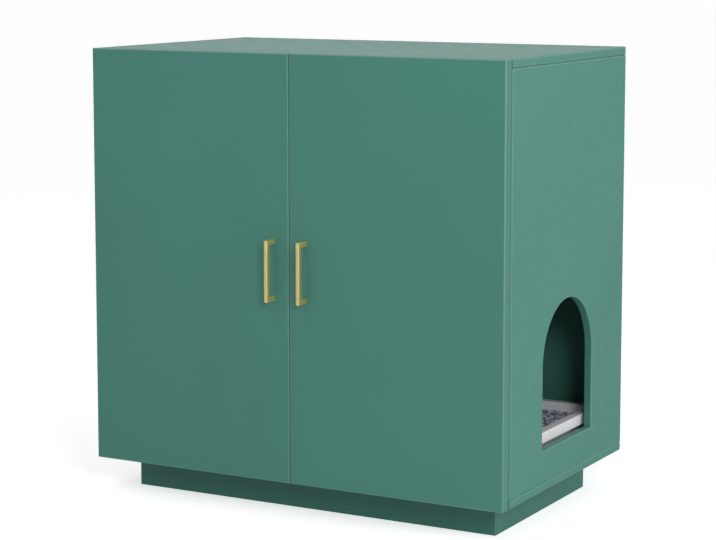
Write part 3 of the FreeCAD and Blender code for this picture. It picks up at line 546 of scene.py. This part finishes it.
def placed(tree, sizes, result, thing):
    """End a tree with the thing on every point, turned."""
    turn = step(tree, "FunctionNodeEulerToRotation", {0: sizes.outputs["Turn"]})
    spots = step(tree, "GeometryNodeInstanceOnPoints", {
        "Points": sizes.outputs["Geometry"], "Instance": thing, "Rotation": turn.outputs[0]})
    ended(tree, sizes, result, spots.outputs[0])


def grown(name, points, tree, values):
    """The plain mesh that a tree makes on a set of points."""
    data = bpy.data.meshes.new(name)
    data.from_pydata(points, [], [])
    return grown_on(scratch(name, data), tree, values)


def grown_on(rough, tree, values):
    """The plain mesh that a tree makes of an object, with its inputs set."""
    modifier = rough.modifiers.new("tree", "NODES")
    modifier.node_group = tree
    for item in tree.interface.items_tree:
        if item.in_out == "INPUT" and item.name in values:
            modifier[item.identifier] = values[item.name]
    return settled(rough)


# %% [markdown]
# A screw has a low head with a cross recess and a plain shank. In the tree, a cone is the head,
# two crossed blocks cut the recess out of it, and a cylinder is the shank. A thread is left
# out, because it would be hidden in the wood.

# %% The screw tree
HEAD_SIDES = 24
SHANK_SIDES = 12
HEAD_TOP_SHARE = 0.82
ARM_SHARE = 4.0
screw_tree, sizes, result = new_tree("screw", {
    "Head Radius": "Float", "Head Height": "Float", "Shank Radius": "Float", "Length": "Float",
    "Recess Width": "Float", "Turn": "Vector", "Finish": "Material"})
size = sizes.outputs
head = step(screw_tree, "GeometryNodeMeshCone", {
    "Vertices": HEAD_SIDES, "Radius Top": times(screw_tree, size["Head Radius"], HEAD_TOP_SHARE),
    "Radius Bottom": size["Head Radius"], "Depth": size["Head Height"]})
head_low = times(screw_tree, size["Head Height"], -1.0)
arm_length = times(screw_tree, size["Recess Width"], ARM_SHARE)
recess_size = step(screw_tree, "ShaderNodeCombineXYZ", {
    "X": arm_length, "Y": size["Recess Width"], "Z": size["Head Height"]})
recess_turned = step(screw_tree, "ShaderNodeCombineXYZ", {
    "X": size["Recess Width"], "Y": arm_length, "Z": size["Head Height"]})
slots = [step(screw_tree, "GeometryNodeMeshCube", {"Size": way.outputs[0]}).outputs[0]
         for way in (recess_size, recess_turned)]
cut_head = step(screw_tree, "GeometryNodeMeshBoolean", {
    "Mesh 1": up_by(screw_tree, head.outputs["Mesh"], head_low),
    "Mesh 2": joined(screw_tree, *slots)}, operation="DIFFERENCE")
shank = step(screw_tree, "GeometryNodeMeshCylinder", {
    "Vertices": SHANK_SIDES, "Radius": size["Shank Radius"], "Depth": size["Length"]})
shank_middle = step(screw_tree, "ShaderNodeMath", {
    0: head_low, 1: times(screw_tree, size["Length"], 0.5)}, operation="SUBTRACT")
low_shank = up_by(screw_tree, shank.outputs["Mesh"], shank_middle.outputs[0])
placed(screw_tree, sizes, result, joined(screw_tree, cut_head.outputs[0], low_shank))

# %% [markdown]
# Each set of screws names its CAD node, the way that its heads face, and its sizes. The hinge
# screws are small and flat, the handle screws have larger pan heads, and the back panel has
# little ones.

# %% Place the screws
HINGE_SCREW = {"Head Radius": 3.4 * MM, "Head Height": 1.0 * MM, "Shank Radius": 1.75 * MM,
               "Length": 13 * MM, "Recess Width": 0.9 * MM}
HANDLE_SCREW = {"Head Radius": 4.0 * MM, "Head Height": 2.2 * MM, "Shank Radius": 2.0 * MM,
                "Length": 30 * MM, "Recess Width": 1.1 * MM}
BACK_SCREW = {"Head Radius": 2.6 * MM, "Head Height": 1.2 * MM, "Shank Radius": 1.3 * MM,
              "Length": 16 * MM, "Recess Width": 0.8 * MM}
PLINTH_SCREW = {"Head Radius": 4.0 * MM, "Head Height": 2.0 * MM, "Shank Radius": 2.0 * MM,
                "Length": 50 * MM, "Recess Width": 1.2 * MM}
screw_sets = {"back_panel_screws": ("+y", BACK_SCREW), "plinth_screws": ("-z", PLINTH_SCREW)}
for side, facing in (("left", "+x"), ("right", "-x")):
    screw_sets[side + "_hinge_plate_screws"] = (facing, HINGE_SCREW)
    screw_sets[side + "_hinge_cup_screws"] = ("+y", HINGE_SCREW)
    screw_sets[side + "_handle_screws"] = ("+y", HANDLE_SCREW)
for node, (facing, screw_sizes) in screw_sets.items():
    points = head_points(node, facing)
    values = {**screw_sizes, "Turn": FACINGS[facing][0], "Finish": screw_zinc}
    data = grown(node, points, screw_tree, values)
    keep(node + "_finished", evenly_shaded(data), screw_zinc, node)
    print(node + ":", len(points))

# %% [markdown]
# ## Caps and bumpers
# The cam fittings hide under push-in caps, and a soft bumper near each door's free corners keeps
# it off the body. Both are low round buttons with an eased rim. They could be turned profiles,
# but a second small tree is shorter: a cylinder carries a shallow cone, welded where they meet.

# %% The button tree
BUTTON_SIDES = 48
RIM_SHARE = 0.55
TOP_SHARE = 0.9
WELD = 0.01 * MM
button_tree, sizes, result = new_tree("button", {
    "Radius": "Float", "Height": "Float", "Turn": "Vector", "Finish": "Material"})
size = sizes.outputs
rim_height = times(button_tree, size["Height"], RIM_SHARE)
crown_height = times(button_tree, size["Height"], 1 - RIM_SHARE)
rim = step(button_tree, "GeometryNodeMeshCylinder", {
    "Vertices": BUTTON_SIDES, "Radius": size["Radius"], "Depth": rim_height})
rim_open = step(button_tree, "GeometryNodeDeleteGeometry", {
    "Geometry": rim.outputs["Mesh"], "Selection": rim.outputs["Top"]}, domain="FACE")
crown = step(button_tree, "GeometryNodeMeshCone", {
    "Vertices": BUTTON_SIDES, "Radius Top": times(button_tree, size["Radius"], TOP_SHARE),
    "Radius Bottom": size["Radius"], "Depth": crown_height})
crown_open = step(button_tree, "GeometryNodeDeleteGeometry", {
    "Geometry": crown.outputs["Mesh"], "Selection": crown.outputs["Bottom"]}, domain="FACE")
rim_middle = step(button_tree, "ShaderNodeMath", {
    0: times(button_tree, rim_height, -0.5), 1: crown_height}, operation="SUBTRACT")
button = joined(button_tree, up_by(button_tree, rim_open.outputs[0], rim_middle.outputs[0]),
                up_by(button_tree, crown_open.outputs[0], times(button_tree, crown_height, -1.0)))
welded = step(button_tree, "GeometryNodeMergeByDistance", {"Geometry": button, "Distance": WELD})
placed(button_tree, sizes, result, welded.outputs[0])

# %% [markdown]
# The caps sit in both sides of the cabinet and face inwards, so they are made for each facing
# and joined into one mesh. The bumpers all face the body.

# %% Place the caps and bumpers
CAP_RADIUS = 8.5 * MM
BUMPER_RADIUS = 4 * MM


def facing_points(node, facing):
    """The places of a node's solids in the half of the cabinet whose inside faces that way."""
    side = 1 if facing == "-x" else -1
    return [point for point in head_points(node, facing) if point.x * side > 0]


def height_of(node, axis):
    """How far a node's solids reach along an axis."""
    low, high = solids_of(node)[0]
    return (high - low)[axis]


caps_mesh = bmesh.new()
for facing in ("+x", "-x"):
    values = {"Radius": CAP_RADIUS, "Height": height_of("cam_cover_caps", 0),
              "Turn": FACINGS[facing][0], "Finish": cap_plastic}
    points = facing_points("cam_cover_caps", facing)
    caps_mesh.from_mesh(grown("caps", points, button_tree, values))
    print("caps that face", facing + ":", len(points))
caps_data = bpy.data.meshes.new("caps")
caps_mesh.to_mesh(caps_data)
caps_mesh.free()
keep("cam_cover_caps_finished", evenly_shaded(caps_data), cap_plastic, "cam_cover_caps")
for side in ("left", "right"):
    node = side + "_door_bumpers"
    values = {"Radius": BUMPER_RADIUS, "Height": height_of(node, 1), "Turn": FACINGS["+y"][0],
              "Finish": bumper_rubber}
    data = grown(node, head_points(node, "+y"), button_tree, values)
    keep(node + "_finished", evenly_shaded(data), bumper_rubber, node)

# %% [markdown]
# ## The litter tray
# A litter tray is one moulding: leaning walls with generous corners, and a flat rim whose outer
# edge turns down as a skirt, which fingers lift it by. A block could be cut and bevelled to
# that form, but a loft gives clean faces round the corners. It needs three helpers: a rounded
# rectangle, an arc at each bend of the tray's section, and faces between rectangles.

# %% Helpers for the loft
CORNER_STEPS = 14
FILLET_STEPS = 4
SMALLEST_CORNER = 2 * MM
SAME_POINT = 0.001 * MM


def rounded_ring(low, high, inset, corner, z):
    """The points of a rounded rectangle, set in from a box's outline."""
    points = []
    corners = [(high.x, high.y, 0), (low.x, high.y, 90), (low.x, low.y, 180), (high.x, low.y, 270)]
    for x, y, start in corners:
        cx = x - math.copysign(inset + corner, x - (low.x + high.x) / 2)
        cy = y - math.copysign(inset + corner, y - (low.y + high.y) / 2)
        for index in range(CORNER_STEPS + 1):
            angle = math.radians(start + 90 * index / CORNER_STEPS)
            points.append(Vector((cx + corner * math.cos(angle), cy + corner * math.sin(angle), z)))
    return points


def filleted(path):
    """A section's points (inset, height, radius) with an arc in place of each bend."""
    smooth = [Vector(path[0][:2])]
    for before, here, after in zip(path, path[1:], path[2:]):
        corner, radius = Vector(here[:2]), here[2]
        into = (corner - Vector(before[:2])).normalized()
        out = (Vector(after[:2]) - corner).normalized()
        turn = into.angle(out)
        trim = radius * math.tan(turn / 2)
        start, end = corner - into * trim, corner + out * trim
        for index in range(FILLET_STEPS + 1):
            share = index / FILLET_STEPS
            first = start.lerp(corner, share)
            smooth.append(first.lerp(corner.lerp(end, share), share))
    smooth.append(Vector(path[-1][:2]))
    return smooth


def loft(rings):
    """Faces between neighbouring rings, with a lid on each end."""
    skin = bmesh.new()
    rows = [[skin.verts.new(point) for point in ring] for ring in rings]
    count = len(rows[0])
    for lower, upper in zip(rows, rows[1:]):
        for index in range(count):
            following = (index + 1) % count
            skin.faces.new((lower[index], lower[following], upper[following], upper[index]))
    skin.faces.new(reversed(rows[0]))
    skin.faces.new(rows[-1])
    bmesh.ops.remove_doubles(skin, verts=skin.verts, dist=SAME_POINT)
    bmesh.ops.recalc_face_normals(skin, faces=skin.faces)
    data = bpy.data.meshes.new("loft")
    skin.to_mesh(data)
    skin.free()
    return data


# %% [markdown]
# The section starts under the tray's floor, runs up the outside and round the rim, and ends on
# top of the floor. Each point has its inset from the rim's edge, its height and the radius of
# its bend. Each point's rounded rectangle then follows the tray's outline.

# %% Mould the tray
RIM_WIDTH = 14 * MM
RIM_LIP = 3.5 * MM
SKIRT = 19 * MM
WALL = 3 * MM
LEAN = 8 * MM
OUTER_CORNER = 40 * MM
FLOOR_RUN = 30 * MM
tray_low, tray_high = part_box("litter_tray")
foot, top = tray_low.z, tray_high.z
section = filleted([
    (RIM_WIDTH + LEAN + FLOOR_RUN, foot, 0),
    (RIM_WIDTH + LEAN, foot, 6 * MM),
    (RIM_WIDTH, top - RIM_LIP, 1.5 * MM),
    (WALL, top - RIM_LIP, 1 * MM),
    (WALL, top - SKIRT, 1.2 * MM),
    (0, top - SKIRT, 1.2 * MM),
    (0, top, 2.2 * MM),
    (RIM_WIDTH + WALL, top, 1.8 * MM),
    (RIM_WIDTH + WALL + LEAN, foot + WALL, 7 * MM),
    (RIM_WIDTH + WALL + LEAN + FLOOR_RUN, foot + WALL, 0),
])
rings = []
for inset, z in section:
    corner = max(OUTER_CORNER - inset, SMALLEST_CORNER)
    rings.append(rounded_ring(tray_low, tray_high, inset, corner, z))
keep("litter_tray_finished", evenly_shaded(loft(rings)), tray_plastic, "litter_tray")

# %% [markdown]
# ## The litter
# The litter is a shallow bed whose surface was raked by paws: low mounds, never flat, and a
# little heaped against the walls. A physics simulation of grains would be slow and would not
# look better. Instead, rings that shrink towards the middle carry the height: a sum of a few
# seeded waves, and a heap that fades away from the wall.

# %% Raise the bed
SEED = 7
WAVES = 9
PITCHES = (25, 70)
ANGLES = (0, 6.28)
MOUND = 2.2 * MM
HEAP = 13 * MM
HEAP_REACH = 45 * MM
SIDE_PLAY = 0.3 * MM
STONE_ROOM = 1.5 * MM
BED_CORNER = 22 * MM
BED_RINGS = 34
FOOT_INSET = 6.5 * MM
SIDE_DEPTH = 6 * MM
MIDDLE_GAP = 4 * MM
bed_low, bed_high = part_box("litter_bed")
bed_top = bed_high.z - MOUND - STONE_ROOM
chance = random.Random(SEED)
waves = [[chance.uniform(*limits) for limits in (PITCHES, ANGLES, ANGLES)] for _ in range(WAVES)]


def mound(x, y):
    """Height of the raked surface at a place, between minus one and one."""
    total = 0
    for pitch, way, phase in waves:
        total += math.sin(pitch * (x * math.cos(way) + y * math.sin(way)) + phase)
    return total / len(waves)


bed_rings = []
for inset, z in ((FOOT_INSET, bed_low.z + SIDE_PLAY), (SIDE_PLAY, bed_top - SIDE_DEPTH)):
    bed_rings.append(rounded_ring(bed_low, bed_high, inset, BED_CORNER, z))
half_depth = (bed_high.y - bed_low.y) / 2
for number in range(BED_RINGS):
    inset = SIDE_PLAY + (half_depth - MIDDLE_GAP) * number / (BED_RINGS - 1)
    corner = max(BED_CORNER - inset, SMALLEST_CORNER)
    height = bed_top + HEAP * math.exp(-inset / HEAP_REACH)
    ring = rounded_ring(bed_low, bed_high, inset, corner, height)
    bed_rings.append([Vector((p.x, p.y, p.z + MOUND * mound(p.x, p.y))) for p in ring])
bed_data = loft(bed_rings)
print("bed:", len(waves), "waves,", len(bed_rings), "rings,", len(bed_data.polygons), "faces")

# %% [markdown]
# Painted grains lie too flat at the doorway, where the litter is seen from close by. So a tree
# scatters thousands of small stones on every face of the bed that looks up, each with its own
# size and turn. A seed fixes them, so that each run gives the same litter.

# %% Scatter the stones
LOOKS_UP = 0.7
STONE_RADIUS = 2.3 * MM
SMALLEST_STONE = (0.5, 0.5, 0.4)
LARGEST_STONE = (1.3, 1.1, 0.9)
STONES_PER_SQUARE_METRE = 42000.0
stone_tree, sizes, result = new_tree("stones", {
    "Stone Radius": "Float", "Density": "Float", "Seed": "Int", "Finish": "Material"})
size = sizes.outputs
normal = step(stone_tree, "GeometryNodeInputNormal", {})
facing = step(stone_tree, "ShaderNodeSeparateXYZ", {0: normal.outputs[0]})
upward = step(stone_tree, "FunctionNodeCompare", {
    0: facing.outputs["Z"], 1: LOOKS_UP}, operation="GREATER_THAN")
spots = step(stone_tree, "GeometryNodeDistributePointsOnFaces", {
    "Mesh": size["Geometry"], "Selection": upward.outputs[0],
    "Density": size["Density"], "Seed": size["Seed"]})
stone = step(stone_tree, "GeometryNodeMeshIcoSphere", {
    "Radius": size["Stone Radius"], "Subdivisions": 1})
random_size = step(stone_tree, "FunctionNodeRandomValue", {
    "Min": SMALLEST_STONE, "Max": LARGEST_STONE, "Seed": size["Seed"]}, data_type="FLOAT_VECTOR")
random_turn = step(stone_tree, "FunctionNodeRandomValue", {
    "Min": (ANGLES[0],) * 3, "Max": (ANGLES[1],) * 3,
    "Seed": size["Seed"]}, data_type="FLOAT_VECTOR")
turned = step(stone_tree, "FunctionNodeEulerToRotation", {0: random_turn.outputs[0]})
stones = step(stone_tree, "GeometryNodeInstanceOnPoints", {
    "Points": spots.outputs["Points"], "Instance": stone.outputs["Mesh"],
    "Rotation": turned.outputs[0], "Scale": random_size.outputs[0]})
ended(stone_tree, sizes, result, joined(stone_tree, size["Geometry"], stones.outputs[0]))
values = {"Stone Radius": STONE_RADIUS, "Density": STONES_PER_SQUARE_METRE, "Seed": SEED,
          "Finish": litter_finish}
litter_data = grown_on(scratch("litter_rough", bed_data), stone_tree, values)
keep("litter_finished", litter_data, litter_finish, "litter_bed")

# %% [markdown]
# ## Other CAD nodes
# The cam locks, their bolts and the dowels are sunk in the boards, where nothing shows of them.
# Their threads and slots could be made, but nobody would see them. So they keep their CAD
# meshes and take a finish.

# %% Finish the nodes that stay
FINISH_OF_SLOT = {"zinc_plate": screw_zinc, "bare_wood": bare_wood}
for node in ("cam_locks", "cam_bolts", "wooden_dowels"):
    slots = cad_nodes[node].data.materials
    slots.clear()
    slots.append(FINISH_OF_SLOT[slots_of[node]])
    print(node, "in", slots[0].name)

# %% [markdown]
# ## Floor and light
# The floor is pale and plain, as in a studio. More light would turn it white, but it would wash
# out the paint too. So only the camera's own rays see a lift in the floor's brightness, and the
# shadow stays.

# %% Floor
FLOOR_SIZE = 30
FLOOR_LIFT = 0.56
FLOOR_GREY = (0.9, 0.9, 0.9)
floor_data = bpy.data.meshes.new("floor")
corners = [(x * FLOOR_SIZE, y * FLOOR_SIZE, 0) for x, y in ((-1, -1), (1, -1), (1, 1), (-1, 1))]
floor_data.from_pydata(corners, [], [(0, 1, 2, 3)])
floor = scratch("floor", floor_data)
floor_finish = new_finish("floor", FLOOR_GREY, 1.0, Emission_Color=(1, 1, 1, 1))
floor_path = add(floor_finish, "ShaderNodeLightPath")
lift = between(floor_finish, floor_path.outputs["Is Camera Ray"], 0, FLOOR_LIFT, 0, 1)
link(floor_finish, lift, shader_input(floor_finish, "Emission Strength"))
floor_data.materials.append(floor_finish)

# %% [markdown]
# A picture of a studio could light the cabinet, but a white world and three soft lamps are
# easier to steer. The world is white where the camera, a gloss or a clear piece sees it, and
# softer as a lamp. The key lamp stands to the right in front, low enough to shine in through
# the doorway onto the litter. The side lamp lights the right panel, and the fill hangs in front.

# %% World and lamps
AMBIENT = 0.42
MIDDLE = Vector((0, 0, 0.4))
world = bpy.data.worlds.new("studio")
bpy.context.scene.world = world
world.use_nodes = True
sky = world.node_tree.nodes["Background"]
sky.inputs["Color"].default_value = (1, 1, 1, 1)
path = step(world.node_tree, "ShaderNodeLightPath", {}).outputs
seen = step(world.node_tree, "ShaderNodeMath", {
    0: path["Is Camera Ray"], 1: path["Is Glossy Ray"]}, operation="MAXIMUM")
seen_through = step(world.node_tree, "ShaderNodeMath", {
    0: seen.outputs[0], 1: path["Is Transmission Ray"]}, operation="MAXIMUM")
level = step(world.node_tree, "ShaderNodeMapRange", {
    "Value": seen_through.outputs[0], "To Min": AMBIENT, "To Max": 1.0})
world.node_tree.links.new(level.outputs["Result"], sky.inputs["Strength"])


def lamp(name, place, size, power):
    """A round lamp that looks at the middle of the cabinet."""
    data = bpy.data.lights.new(name, "AREA")
    data.shape = "DISK"
    data.size = size
    data.energy = power
    light = bpy.data.objects.new(name, data)
    light.location = place
    light.rotation_euler = (MIDDLE - Vector(place)).to_track_quat("-Z", "Y").to_euler()
    bpy.context.scene.collection.objects.link(light)
    print("lamp:", name, power, "W")


lamp("key", place=(2.2, -2.4, 1.6), size=0.9, power=34)
lamp("side", place=(3.2, 0.3, 1.1), size=1.4, power=25)
lamp("fill", place=(-0.6, -2.4, 3.2), size=1.6, power=17)
